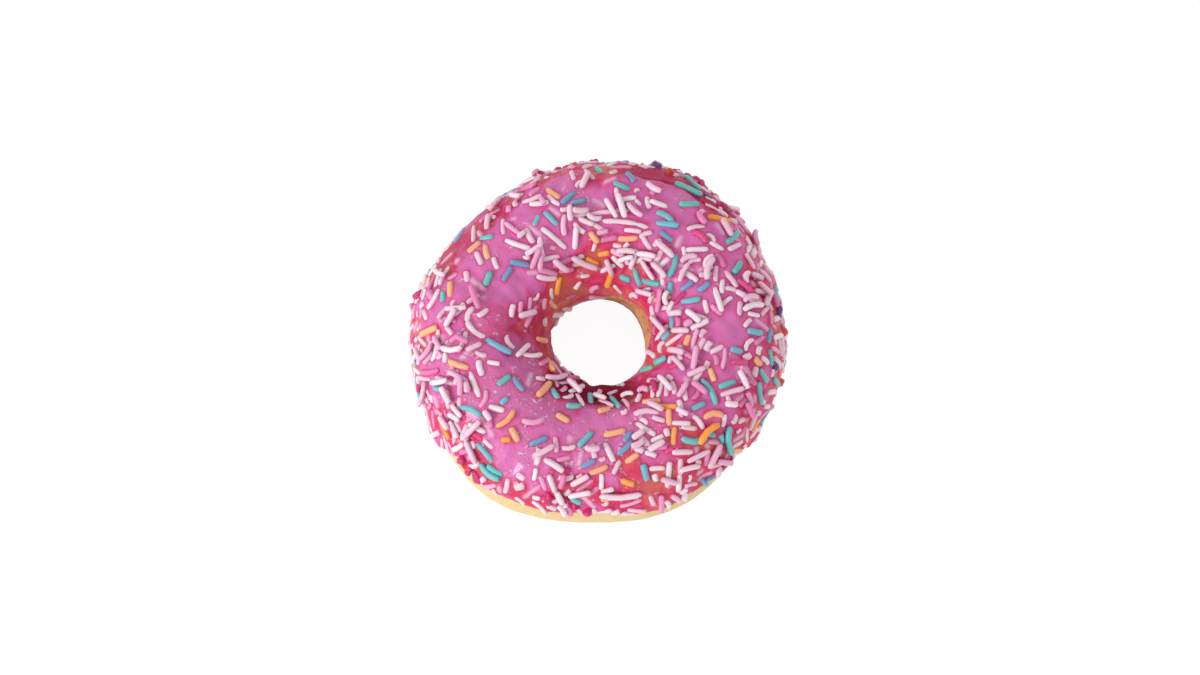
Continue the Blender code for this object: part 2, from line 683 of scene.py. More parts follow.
@dataclass(frozen=True)
class DoughFinish:
    """Fried dough: a pale band at the waist, browner towards the underside and in the hole."""

    pale: Color = (224, 199, 147)
    golden: Color = (222, 158, 102)
    brown: Color = (160, 92, 50)
    dark: Color = (112, 56, 30)
    juice: Color = (204, 72, 84)
    roughness: float = 0.62

    def material(self) -> bpy.types.Material:
        """Makes the material. It reads how brown and how soaked with juice the crust is.

        Returns:
            The material.
        """
        finish = Finish(
            "fried_dough",
            roughness=self.roughness,
            specular_ior_level=0.2,
            subsurface_weight=0.12,
            subsurface_scale=1.2 * MM,
        )
        finish.set("Subsurface Radius", (1.0, 0.5, 0.25))
        mottle = finish.noise(5.0 * MM, 4.0, 0.6)
        speckle = finish.noise(0.9 * MM, 3.0, 0.6, 4.0)
        baked = finish.attribute("browning")
        browning = baked + (mottle - 0.5) * (baked + 0.25) * 0.9 + (speckle - 0.5) * (baked + 0.1) * 1.3
        bake = {0.0: self.pale, 0.45: self.golden, 0.75: self.brown, 1.0: self.dark}
        color = finish.stops(browning, bake)
        soaked = finish.ramp(finish.attribute("soaked") + (speckle - 0.5) * 1.5, 0.35, 1.0)
        finish.set("Base Color", finish.blend(soaked, color, self.juice))
        pores = finish.ramp(finish.noise(0.7 * MM, 2.0, 0.5, 9.0), 0.62, 0.74) * -1.0
        finish.relief((mottle, 0.5 * MM), (speckle, 0.12 * MM), (pores, 0.15 * MM))
        return finish.material


@dataclass(frozen=True)
class DoughRing:
    """The fried dough ring, whose whole surface follows the ring's rule."""

    form: RingForm
    finish: DoughFinish = DoughFinish()
    ring_steps: int = 480
    section_steps: int = 140
    relief: float = 0.16 * MM
    relief_size: float = 5.0 * MM
    crease_depth: float = 0.12 * MM
    creases_per_metre: float = 420.0
    crease_stretch: float = 0.22
    weld: float = 0.001 * MM
    plain_bake: float = 0.05
    belly_bake: float = 0.6
    belly_start: float = 3.5 * MM
    belly_fade: float = 9.0 * MM
    hole_bake: float = 0.34
    hole_bake_waves: tuple[Wave, ...] = (Wave(0.14, 1, 80), Wave(0.06, 3, 50))
    deep_bake: float = 0.4
    deep_fade: float = 16.0
    uneven_waves: tuple[Wave, ...] = (Wave(0.05, 2, 30), Wave(0.04, 5, 80), Wave(0.03, 11, 10))
    soaked_width: float = 13.0
    soaked_under: float = 40.0

    def build(self) -> bpy.types.Object:
        """Builds the ring with Geometry Nodes and hands it to the frame.

        Returns:
            The piece.
        """
        shift = self.form.shift_to("dough_ring")
        tree = GeometryTree("dough_ring_rule")
        names = ("outer_radius", "hole_radius", "waist_height", "crown_rise", "belly_drop", "fullness")
        titles = {name: name.replace("_", " ").title() for name in names}
        sizes = {name: tree.size(title, getattr(self.form, name)) for name, title in titles.items()}
        live = dataclasses.replace(self.form, **sizes)
        relief = tree.size("Relief", self.relief)
        relief_size = tree.size("Relief Size", self.relief_size)
        ring_steps = tree.size("Ring Steps", self.ring_steps + 1, "NodeSocketInt")
        section_steps = tree.size("Section Steps", self.section_steps + 1, "NodeSocketInt")
        span = {"Size X": FULL_TURN, "Size Y": FULL_TURN}
        grid = tree.node("MeshGrid", span | {"Vertices X": ring_steps, "Vertices Y": section_steps})
        azimuth, turn, _ = tree.split(tree.node("InputPosition").outputs[0])
        turn = turn + QUARTER_TURN
        radius, height = live.section(azimuth, turn)
        marked = tree.store(grid.outputs[0], "browning", self.browning(azimuth, turn, height))
        marked = tree.store(marked, "soaked", self.soaking(azimuth, turn))
        place = tree.vector(radius * cosine(azimuth) + shift.x, radius * sine(azimuth) + shift.y, height)
        shaped = tree.node("SetPosition", {"Geometry": marked, "Position": place}).outputs[0]
        closed = tree.node("MergeByDistance", {"Geometry": shaped, "Distance": self.weld}).outputs[0]
        rough = self.roughened(tree, closed, relief, relief_size)
        tree.end(rough, self.finish.material())
        ring = tree.run("dough_ring_fried")
        settle(ring, "dough", "dough_ring")
        return ring

    def browning(self, azimuth: Wire, turn: Wire, height: Wire) -> Wire:
        """How brown the crust is: pale at the outer waist, golden below it and browner in the hole.

        Args:
            azimuth: Azimuths of the places.
            turn: Turns of the places.
            height: Heights of the places.

        Returns:
            Zero for pale, up to one for dark brown.
        """
        in_hole = at_least(0.1 - cosine(turn), 0.0).math("MINIMUM", 1.0)
        hole_bake = wave_sum(self.hole_bake_waves, azimuth) + self.hole_bake
        below = at_least(self.form.waist_height - self.belly_start - height, 0.0) / self.belly_fade
        uneven = wave_sum(self.uneven_waves, azimuth)
        deep = at_least(turn - math.pi, 0.0) / math.radians(self.deep_fade)
        hole_bake = hole_bake + deep.math("MINIMUM", 1.0) * self.deep_bake
        baked = in_hole * hole_bake + below.math("MINIMUM", 1.0) * self.belly_bake + uneven * in_hole
        return baked + self.plain_bake

    def soaking(self, azimuth: Wire, turn: Wire) -> Wire:
        """How much juice has run into the crust just past the icing's edge in the hole.

        Args:
            azimuth: Azimuths of the places.
            turn: Turns of the places.

        Returns:
            One share for each place.
        """
        past = turn * (180.0 / math.pi) - self.form.hole_edge_turn(azimuth)
        share = at_least(1.0 - past / self.soaked_width, 0.0).math("MINIMUM", 1.0)
        return share * is_positive(past + self.soaked_under)

    def roughened(
        self, tree: GeometryTree, geometry: bpy.types.NodeSocket, relief: Wire, relief_size: Wire
    ) -> bpy.types.NodeSocket:
        """Gives the crust its dimples and its short creases, and keeps the base flat.

        Args:
            tree: The tree.
            geometry: The smooth ring.
            relief: Depth of the dimples.
            relief_size: Width of the dimples.

        Returns:
            The rough ring.
        """
        position = tree.node("InputPosition").outputs[0]
        lumps = tree.noise(position, 1.0 / relief_size, 3.0)
        factors = {0: position, 1: (1.0, 1.0, self.crease_stretch)}
        stretched = tree.node("ShaderNodeVectorMath", factors, operation="MULTIPLY").outputs[0]
        creases = tree.noise(stretched, self.creases_per_metre, 2.0)
        crease_height = creases.math("ABSOLUTE") * -4.0 * self.crease_depth
        moved = tree.pushed(geometry, lumps * 2.0 * relief + crease_height)
        x, y, z = tree.split(tree.node("InputPosition").outputs[0])
        level = tree.vector(x, y, at_least(z, 0.0))
        return tree.node("SetPosition", {"Geometry": moved, "Position": level}).outputs[0]


# ---- The icing ---------------------------------------------------


@dataclass(frozen=True)
class IcingFinish:
    """Pink sugar icing: satin lilac where it is thick, glossy crimson where the crust shines through.
    Painted shade and painted glints are laid into its colour.
    """

    bare: Color = (206, 110, 84)
    crust: Color = (210, 96, 90)
    glaze: Color = (214, 72, 98)
    deep: Color = (206, 50, 92)
    middle: Color = (212, 80, 138)
    thick: Color = (215, 107, 168)
    creamy: Color = (208, 119, 182)
    stain_and_shade: Color = (196, 4, 84)
    deep_shade: Color = (124, 0, 40)
    coated: Color = (226, 172, 200)
    glint: Color = (248, 206, 230)
    roughness: float = 0.32

    def material(self) -> bpy.types.Material:
        """Makes the material. It reads what the mesh stores: the cover, the nearness of sprinkles, the
        painted shade, the coated film, the side towards the lamp and how far the face turns up.

        Returns:
            The material.
        """
        finish = Finish(
            "pink_icing",
            specular_ior_level=0.22,
            subsurface_weight=0.25,
            subsurface_scale=1.3 * MM,
            coat_roughness=0.14,
        )
        finish.set("Subsurface Radius", (1.0, 0.35, 0.55))
        cloud = finish.noise(2.6 * MM, 4.0, 0.65)
        grain = finish.noise(0.7 * MM, 3.0, 0.6, 3.0)
        near = finish.attribute("near")
        painted_shade = finish.attribute("painted_shade")
        layer = finish.attribute("cover")
        up = finish.attribute("up")
        # Round the sprinkles the icing turns deeper: partly the thinner glaze at their foot, partly painted
        # contact shade.
        cover = layer + (cloud - 0.5) * 0.75 + (grain - 0.5) * 0.3 - near * 0.22
        low = {0.0: self.bare, 0.12: self.crust, 0.24: self.glaze, 0.4: self.deep, 0.56: self.middle}
        color = finish.stops(cover * 0.75 + 0.13, low | {0.75: self.thick, 0.95: self.creamy})
        color = finish.blend(near * near * 0.5, color, self.stain_and_shade)
        # Painted shade: a deep crimson laid over the hole's front wall, the left inner flank, the rim and
        # below the ledge.
        color = finish.blend(painted_shade * 0.96, color, self.deep_shade)
        steep = finish.ramp(up, 0.3, 0.0)
        finish.set("Roughness", (painted_shade * 0.6 + steep * 0.5).math("MINIMUM", 0.6) + self.roughness)
        color = finish.blend(finish.attribute("film"), color, self.coated)
        # Painted glints: pale pink specks in the base colour, on upward faces and mostly on the side
        # towards the lamp; the same patches also carry a real clear coat.
        lamp_side_wetness = finish.attribute("lamp_side_wetness") * 0.1 + near * 0.08 - layer * 0.05
        patches = finish.ramp(finish.noise(7.0 * MM, 1.0, 0.5, 7.0) + lamp_side_wetness, 0.47, 0.6)
        patches = patches * (1.0 - painted_shade) * finish.ramp(up, 0.5, 0.85)
        glints = finish.ramp(finish.noise(0.95 * MM, 1.0, 0.5, 5.0), 0.56, 0.68) * patches
        finish.set("Base Color", finish.blend(glints * 0.5, color, self.glint))
        finish.set("Coat Weight", patches * 0.75)
        finish.relief((cloud, 0.35 * MM), (grain, 0.1 * MM), (glints, 0.25 * MM))
        return finish.material


# Where the icing ran thin and where it stayed thick, as azimuths and turns in degrees.
THIN_SPOTS: Spots = (
    (2, 118), (66, 120), (86, 116), (92, 138), (100, 116), (90, 50), (91, 54), (322, 122), (120, 142),
    (304, 76), (290, 50), (312, 56), (334, 50), (160, 24), (10, 34), (30, 24), (320, 30), (180, 108),
    (0, 22), (124, 142), (136, 150),
)
THICK_SPOTS: Spots = (
    (62, 56), (76, 60), (150, 74), (240, 73), (244, 58), (240, 18), (225, 16), (210, 16), (194, 16),
    (238, 140), (252, 142), (120, 20), (122, 110), (332, 99), (334, 86), (268, 14), (262, 84), (0, 74),
    (10, 68), (180, 58), (214, 58), (0, 96), (0, 86), (30, 72), (330, 76), (330, 64), (270, 26), (92, 98),
    (152, 118), (204, 118), (20, 104), (20, 118), (48, 104), (150, 130), (340, 40), (20, 126),
)


@dataclass(frozen=True)
class IcingCoat:
    """The dipped coat of icing: a thin shell over the dough, lumpy, and raised round the sprinkles."""

    form: RingForm
    finish: IcingFinish = IcingFinish()
    air_gap: float = 0.3 * MM
    thin: float = 0.75 * MM
    patch_rise: float = 0.5 * MM
    lump: float = 0.14 * MM
    lump_swells: tuple[tuple[float, Swell], ...] = ((1.0, Swell(7.0 * MM, 1)), (0.6, Swell(3.2 * MM, 2)))
    edge_rounding: float = 1.8 * MM
    patch_half_width: float = 9.0 * MM
    patch_waves: tuple[Wave, ...] = (Wave(0.16, 1, 110), Wave(0.08, 3, 60))
    flank_cover: float = 0.4
    flank_waves: tuple[Wave, ...] = (Wave(0.09, 1, 10), Wave(0.05, 2, 200))
    flank_swell: tuple[float, Swell] = (0.12, Swell(6.0 * MM, 9))
    crown_cover: float = 0.95
    patch_swells: tuple[tuple[float, Swell], ...] = ((0.3, Swell(11.0 * MM, 5)), (0.14, Swell(4.5 * MM, 6)))
    softness: float = 0.24
    softness_range: float = 0.3
    softness_swell: tuple[float, Swell] = (0.6, Swell(16.0 * MM, 8))
    inner_loss: float = 0.1
    syrup_gain: float = 0.12
    syrup_middle: float = 215.0
    hole_loss: float = 0.2
    hole_loss_turn: float = 140.0
    spot_change: float = 0.3
    spot_reach: float = 5.5 * MM
    spot_edge: float = 1.45
    # Where painted shade darkens the icing: the hole's front wall, the left inner flank and the rim.
    hole_shade_middle: float = 265.0
    hole_shade_half_width: float = 56.0
    hole_shade_turn: float = 108.0
    hole_shade_deepening: float = 18.0
    hole_shade_fade: float = 0.6
    left_shade: float = 0.3
    left_middle: float = 214.0
    left_turn: float = 88.0
    rim_shade: float = 0.3
    rim_middle: float = 146.0
    rim_turn: float = 72.0
    turn_fade: float = 20.0
    # The lamp's azimuth in degrees; the glossy patches and the painted glints gather on that side.
    lamp_azimuth: float = 212.0
    ledge_middle: float = 64.0
    ledge_half_width: float = 22.0
    ledge_fade: float = 8.0
    ledge_turn: float = 56.0
    sheet_cover: float = 0.42
    ledge_shade: float = 0.35
    ledge_waves: tuple[Wave, ...] = (Wave(1.8, 11, 40), Wave(0.9, 23, 10))
    ring_steps: int = 640
    face_steps: int = 126
    under_steps: int = 18
    edge_crowding: float = 0.35

    def cover(self, azimuth: np.ndarray, turn: np.ndarray, points: np.ndarray) -> np.ndarray:
        """How thickly the icing covers a place: one on the crown's smooth patches, zero for a glaze.

        Args:
            azimuth: Azimuths of the places.
            turn: Turns of the places.
            points: The places themselves.

        Returns:
            One share for each place.
        """
        radius, _ = self.form.section(azimuth, turn)
        ridge, _ = self.form.section(azimuth, np.full_like(turn, QUARTER_TURN))
        half_width = self.patch_half_width * (1.0 + wave_sum(self.patch_waves, azimuth))
        from_ridge = np.abs(radius - ridge) / half_width
        below = np.where(np.sin(turn) < 0.0, 1.0, 0.0)
        patchy = swell_sum(self.patch_swells, points)
        uneven = swell_sum((self.softness_swell,), points)
        softness = self.softness + self.softness_range * eased(0.5 + uneven)
        thick = eased(0.5 + (1.0 - from_ridge - below + patchy) / softness / 2.0)
        flank = self.flank_cover + wave_sum(self.flank_waves, azimuth)
        flank = flank + swell_sum((self.flank_swell,), points)
        inner = eased((ridge - radius) / self.patch_half_width)
        syrupy = facing(azimuth, self.syrup_middle, 2.0, 0.8)
        flank = flank - inner * (self.inner_loss - self.syrup_gain * syrupy)
        deep = eased((np.degrees(turn) - self.hole_loss_turn) / self.turn_fade)
        flank = flank - self.hole_loss * (1.0 - syrupy) * deep
        cover = flank + (self.crown_cover - flank) * thick
        for spots, change in ((THIN_SPOTS, -self.spot_change), (THICK_SPOTS, self.spot_change)):
            spot_azimuth, spot_turn = np.radians(np.array(spots, float)).T
            spot_radius, spot_height = self.form.section(spot_azimuth, spot_turn)
            for middle in round_ring(spot_radius, spot_azimuth, spot_height):
                away = np.linalg.norm(points - middle, axis=-1) / self.spot_reach
                cover = cover + change * eased(self.spot_edge - away)
        sheet = self.past_ledge(azimuth, turn, -0.5, 2.5)
        return np.clip(cover * (1.0 - sheet) + self.sheet_cover * sheet, 0.0, self.crown_cover)

    def past_ledge(self, azimuth: np.ndarray, turn: np.ndarray, start: float, width: float) -> np.ndarray:
        """How far a place is below the ledge, where the thick icing stops short and a thin sheet runs on.

        Args:
            azimuth: Azimuths of the places.
            turn: Turns of the places.
            start: How far below the ledge the change starts, in degrees.
            width: Over how many degrees it changes.

        Returns:
            One share for each place, zero all round the rest of the doughnut.
        """
        inside = math.radians(self.ledge_half_width) - apart(azimuth, self.ledge_middle)
        present = eased(inside / math.radians(self.ledge_fade))
        past = self.ledge_turn + wave_sum(self.ledge_waves, azimuth) - np.degrees(turn)
        return present * eased((past - start) / width)

    def shade_share(self, azimuth: np.ndarray, turn: np.ndarray) -> np.ndarray:
        """How much painted shade darkens the icing at a place: most on the hole's front wall, some on the
        left inner flank and on the rim.

        Args:
            azimuth: Azimuths of the places.
            turn: Turns of the places.

        Returns:
            One share for each place.
        """
        degrees = np.degrees(turn)
        inward = eased((degrees - self.hole_shade_turn) / self.hole_shade_deepening)
        inside = math.radians(self.hole_shade_half_width) - apart(azimuth, self.hole_shade_middle)
        deep_shade = inward * eased(inside / self.hole_shade_fade)
        left = eased((degrees - self.left_turn) / self.turn_fade)
        left = left * facing(azimuth, self.left_middle, 2.0, 0.8)
        rim = eased((self.rim_turn - degrees) / self.turn_fade)
        rim = rim * facing(azimuth, self.rim_middle, 8.0, 7.0)
        return np.maximum(deep_shade, np.maximum(self.left_shade * left, self.rim_shade * rim))

    def place(self, azimuth: np.ndarray, turn: np.ndarray, depth: np.ndarray | float = 1.0) -> np.ndarray:
        """Points on the icing.

        Args:
            azimuth: Azimuths of the points.
            turn: Turns of the points.
            depth: One on the icing's face, zero on its underside.

        Returns:
            The points, with coordinates along the last axis.
        """
        start, end = self.form.icing_edges(azimuth)
        radius, height = self.form.section(azimuth, turn)
        out, up = self.form.normal(azimuth, turn)
        dough = round_ring(radius, azimuth, height)
        section_radius = (self.form.waist_height + self.form.crown_rise) / 2.0
        from_edge = np.minimum(turn - start, end - turn) * section_radius
        inside = np.clip(1.0 - from_edge / self.edge_rounding, 0.0, 1.0)
        rounding = np.sqrt(1.0 - inside**2)
        lumps = self.lump * swell_sum(self.lump_swells, dough)
        cover = self.cover(azimuth, turn, dough)
        thickness = rounding * (self.thin + self.patch_rise * cover + lumps)
        push = self.air_gap + np.maximum(thickness, 0.0) * depth
        return round_ring(radius + out * push, azimuth, height + up * push)

    def grid(self) -> tuple[np.ndarray, np.ndarray, np.ndarray]:
        """Lays out the shell's points, over its face and back along its underside.

        Returns:
            Azimuths, turns and depths, with a row for each azimuth.
        """
        azimuth = np.linspace(0.0, FULL_TURN, self.ring_steps, endpoint=False)
        start, end = self.form.icing_edges(azimuth)
        face = np.linspace(0.0, 1.0, self.face_steps)
        crowded = face + self.edge_crowding * ((1.0 - np.cos(face * math.pi)) / 2.0 - face)
        under = np.linspace(1.0, 0.0, self.under_steps + 2)[1:-1]
        share = np.concatenate([crowded, under])
        depth = np.concatenate([np.ones(self.face_steps), np.zeros(self.under_steps)])
        turn = start[:, None] + (end - start)[:, None] * share[None, :]
        return np.broadcast_to(azimuth[:, None], turn.shape), turn, np.broadcast_to(depth, turn.shape)

    def build(self, strands: "list[Strand]") -> bpy.types.Object:
        """Builds the coat round the sprinkles that are pressed into it, and hands it to the frame.

        Args:
            strands: The sprinkles, in the rule's own place.

        Returns:
            The piece.
        """
        azimuth, turn, depth = self.grid()
        points = self.place(azimuth, turn, depth)
        along, over = (np.roll(points, -1, axis=way) - np.roll(points, 1, axis=way) for way in (0, 1))
        normals = np.cross(along, over)
        normals /= np.maximum(np.linalg.norm(normals, axis=-1, keepdims=True), 1e-12)
        raised, near, film = pressed(points, strands, depth > 0.5)
        shift = np.array(self.form.shift_to("dough_ring"))
        mesh = grid_mesh("icing_coat_dipped", points + normals * raised[..., None] + shift)
        # Painted shade below the ledge, darkest in a line at the ledge's foot; it joins the other painted
        # shade.
        sheet = self.past_ledge(azimuth, turn, 0.0, 1.5)
        line = sheet - self.past_ledge(azimuth, turn, 2.0, 5.0)
        red = self.ledge_shade * sheet + self.ledge_shade * line
        stored = {
            "cover": self.cover(azimuth, turn, points),
            "up": normals[..., 2],
            # How far a place lies towards the lamp's side of the ring, for the glossy patches and the
            # painted glints.
            "lamp_side_wetness": np.cos(azimuth - math.radians(self.lamp_azimuth)),
            "near": near,
            "painted_shade": np.maximum(self.shade_share(azimuth, turn), red),
            "film": film,
        }
        for name, values in stored.items():
            set_attribute(mesh, name, values.ravel())
        mesh.materials.append(self.finish.material())
        coat = new_piece("icing_coat_dipped", mesh)
        settle(coat, "icing", "icing_coat")
        return coat


# ---- Sprinkles ---------------------------------------------------


class Sugar(Enum):
    """The colours that sprinkles come in, each with its piece name and material slot."""

    PALE = ("sprinkles_pale", "sprinkle_pale")
    PINK = ("sprinkles_pink", "sprinkle_pink")
    HOT_PINK = ("sprinkles_hot_pink", "sprinkle_pink")
    TEAL = ("sprinkles_teal", "sprinkle_teal")
    ORANGE = ("sprinkles_orange", "sprinkle_orange")
    COATED = ("", "")


@dataclass
class Strand:
    """One sprinkle: a short rod of pressed sugar."""

    sugar: Sugar
    centre: np.ndarray
    axis: np.ndarray
    normal: np.ndarray
    half: float
    radius: float
    kind: int
    tint: float
    lift: float = 0.0


def pressed(
    points: np.ndarray, strands: list[Strand], on_face: np.ndarray
) -> tuple[np.ndarray, np.ndarray, np.ndarray]:
    """How the icing lies round the sprinkles.

    Args:
        points: The icing's points.
        strands: The sprinkles.
        on_face: Which points are on the icing's face.

    Returns:
        How far each point is raised, how near a sprinkle it is, and how much of a coated one shows there.
    """
    raised, near, film = (np.zeros(points.shape[:-1]) for _ in range(3))
    meniscus, reach, coat, hover = 0.14 * MM, 0.6 * MM, 0.12 * MM, 0.4 * MM
    for strand in strands:
        away = points - strand.centre
        limit = strand.half + strand.radius + 4.0 * reach
        found = (np.abs(away).max(axis=-1) < limit) & on_face
        away = away[found]
        along = np.clip(away @ strand.axis, -strand.half, strand.half)
        off = away - along[:, None] * strand.axis
        side = np.linalg.norm(off - (off @ strand.normal)[:, None] * strand.normal, axis=1)
        gap = np.maximum(side - strand.radius, 0.0)
        touching = math.exp(-max(strand.lift, 0.0) / hover)
        closeness = np.exp(-((gap / reach) ** 2)) * touching
        raised[found] = np.maximum(raised[found], meniscus * closeness)
        if strand.sugar is Sugar.COATED:
            bulge = strand.radius + coat
            height = np.sqrt(np.maximum(bulge**2 - side**2, 0.0)) - (off @ strand.normal)
            height = np.where(side < bulge, np.maximum(height, 0.0), 0.0)
            raised[found] = np.maximum(raised[found], height)
            film[found] = np.maximum(film[found], eased(1.2 - side / strand.radius))
        else:
            near[found] = np.maximum(near[found], np.exp(-gap / reach) * touching)
    return raised, near, film


@dataclass(frozen=True)
class SprinkleFinish:
    """Pressed sugar in shades of one colour, darker and pinker on its lower side: partly stained by the
    icing, partly painted shade and painted pink light thrown back from the icing.
    """

    shades: tuple[Color, ...]
    stain_and_shade: Color
    roughness: float = 0.44

    def material(self, name: str) -> bpy.types.Material:
        """Makes the material. It reads each sprinkle's tint and the height round its side.

        Args:
            name: The material's name.

        Returns:
            The material.
        """
        finish = Finish(
            name,
            roughness=self.roughness,
            specular_ior_level=0.35,
            subsurface_weight=0.35,
            subsurface_scale=0.9 * MM,
        )
        finish.set("Subsurface Radius", (1.0, 0.5, 0.6))
        grain = finish.noise(0.5 * MM, 2.0, 0.6)
        tint = finish.attribute("tint") + (grain - 0.5) * 0.25
        last = len(self.shades) - 1
        color = finish.stops(tint, {number / last: shade for number, shade in enumerate(self.shades)})
        # The lower side takes the second colour: a stain from the icing together with painted shade and
        # painted reflected pink.
        stain_and_shade_share = finish.ramp(finish.attribute("side") * -1.0 + (grain - 0.5) * 0.9, -0.65, 0.6)
        finish.set("Base Color", finish.blend(stain_and_shade_share * 0.8, color, self.stain_and_shade))
        finish.relief((grain, 0.06 * MM))
        return finish.material


# Each finish has its shades, then the colour of its lower side: icing stain with painted shade.
FINISHES: dict[Sugar, SprinkleFinish] = {
    Sugar.PALE: SprinkleFinish(((240, 223, 230), (236, 208, 220), (231, 187, 207)), (208, 108, 156)),
    Sugar.PINK: SprinkleFinish(((236, 178, 210), (230, 150, 192), (220, 118, 170)), (186, 58, 116)),
    Sugar.HOT_PINK: SprinkleFinish(((226, 82, 140), (206, 44, 112)), (170, 26, 84)),
    Sugar.TEAL: SprinkleFinish(
        ((108, 192, 186), (120, 187, 200), (120, 171, 198), (119, 154, 194)), (66, 84, 138), 0.28
    ),
    Sugar.ORANGE: SprinkleFinish(
        ((246, 204, 154), (242, 178, 136), (242, 170, 114), (250, 164, 70)), (206, 84, 74), 0.34
    ),
}


# Where few sprinkles lie and where they lie close together, as azimuths and turns in degrees.
BARE_SPOTS: Spots = (
    (47, 72), (60, 54), (74, 56), (90, 76), (122, 72), (160, 99), (180, 98), (208, 96), (236, 100),
    (255, 96), (237, 66), (288, 103), (277, 67), (357, 83), (293, 57), (143, 66), (30, 62), (205, 146),
    (272, 154), (90, 146), (150, 118), (222, 118), (240, 116), (300, 146), (316, 144), (160, 76),
    (88, 20), (182, 116), (332, 116), (248, 74), (232, 74), (150, 84), (60, 76), (184, 140), (180, 154),
    (165, 152), (196, 152), (248, 154), (296, 154), (60, 152), (120, 152), (305, 132), (66, 56),
    (105, 20), (68, 40), (140, 30), (140, 45), (146, 36), (100, 40), (75, 50), (105, 56), (255, 118),
    (285, 50), (285, 24), (240, 56), (0, 88), (265, 150), (280, 152), (136, 24), (152, 46), (0, 72),
    (136, 152), (262, 104),
)
DENSE_SPOTS: Spots = (
    (115, 96), (98, 98), (70, 112), (52, 112), (34, 116), (16, 118), (4, 128), (352, 112), (14, 98),
    (34, 96), (4, 86), (12, 58), (336, 52), (322, 40), (262, 55), (193, 46), (206, 50), (182, 66),
    (180, 84), (188, 26), (204, 20), (216, 58), (175, 124), (252, 128), (300, 116), (326, 110), (112, 86),
    (120, 90), (338, 97), (180, 40), (302, 96), (300, 20), (62, 138), (95, 112), (120, 100), (20, 102),
    (4, 100), (270, 138), (290, 132), (15, 86), (45, 116), (75, 100), (105, 102), (132, 97), (165, 142),
    (195, 52), (195, 28), (226, 68), (255, 84), (315, 14), (22, 110), (340, 28), (100, 114), (300, 70),
    (262, 72), (245, 130), (258, 132), (14, 130), (20, 142), (4, 142), (120, 24), (118, 36), (342, 42),
    (56, 28), (340, 18), (322, 22), (100, 122), (92, 124), (24, 106),
)


@dataclass(frozen=True)
class Laid:
    """Sprinkles of one shade with places of their own, laid before the others are thrown.

    Each runs from an azimuth and a turn to another azimuth and turn, all in degrees. A bent one bulges to
    the right of its way.
    """

    sugar: Sugar
    tint: float
    kind: int
    ends: tuple[tuple[float, float, float, float], ...]


